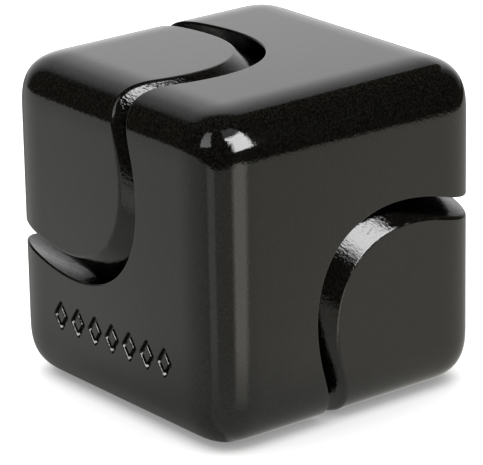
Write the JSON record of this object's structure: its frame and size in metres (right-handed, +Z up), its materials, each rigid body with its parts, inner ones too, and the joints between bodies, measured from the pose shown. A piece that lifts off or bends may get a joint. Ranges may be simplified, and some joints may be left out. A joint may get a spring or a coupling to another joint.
{
  "type": "cube spinner",
  "caption": "Rounded gloss-black metal cube that spins on a ball bearing about its body diagonal while its opposite corner caps are held between finger and thumb.",
  "frame": {"origin": "middle of the bottom face of the cube, where it stands on a desk", "axes": "+Z up; the faces are square to X, Y and Z; the spin axle runs through the cube's centre from the lower cap at the +X, -Y corner to the upper cap at the -X, +Y corner; the engraved row is on the -X face"},
  "size_m": [0.025, 0.025, 0.025],
  "materials": {
    "black_lacquer": "gloss black lacquer over fine-grained die-cast zinc alloy",
    "plated_steel": "turned, bright zinc plated",
    "bearing_steel": "ground, with polished raceways",
    "polished_steel": "mirror-polished balls",
    "pressed_steel": "pressed sheet, satin",
    "spring_steel": "dark phosphated spring steel"
  },
  "bodies": {
    "cube": {"cube_body": "black_lacquer", "bearing_retaining_ring": "spring_steel", "bearing_outer_ring": "bearing_steel", "upper_bearing_shield": "pressed_steel", "lower_bearing_shield": "pressed_steel", "upper_shield_wire": "spring_steel", "lower_shield_wire": "spring_steel"},
    "corner_grips": {"upper_corner_cap": "black_lacquer", "lower_corner_cap": "black_lacquer", "axle_stud": "plated_steel", "axle_sleeve": "plated_steel", "upper_shim_washer": "plated_steel", "lower_shim_washer": "plated_steel", "bearing_inner_ring": "bearing_steel"},
    "ball_train": {"bearing_cage": "pressed_steel", "bearing_ball_01": "polished_steel", "bearing_ball_02": "polished_steel", "bearing_ball_03": "polished_steel", "bearing_ball_04": "polished_steel", "bearing_ball_05": "polished_steel", "bearing_ball_06": "polished_steel", "bearing_ball_07": "polished_steel", "bearing_ball_08": "polished_steel", "bearing_ball_09": "polished_steel", "bearing_ball_10": "polished_steel"}
  },
  "joints": [
    {"name": "grip_spin", "type": "hinge", "parent": "cube", "child": "corner_grips", "pos_m": [0, 0, 0.0125], "axis": [-0.5774, 0.5774, 0.5774], "continuous": true},
    {"name": "ball_train_spin", "type": "hinge", "parent": "cube", "child": "ball_train", "pos_m": [0, 0, 0.0125], "axis": [-0.5774, 0.5774, 0.5774], "continuous": true}
  ],
  "couplings": [
    {"joint": "ball_train_spin", "follows": "grip_spin", "ratio": 0.41664}
  ]
}
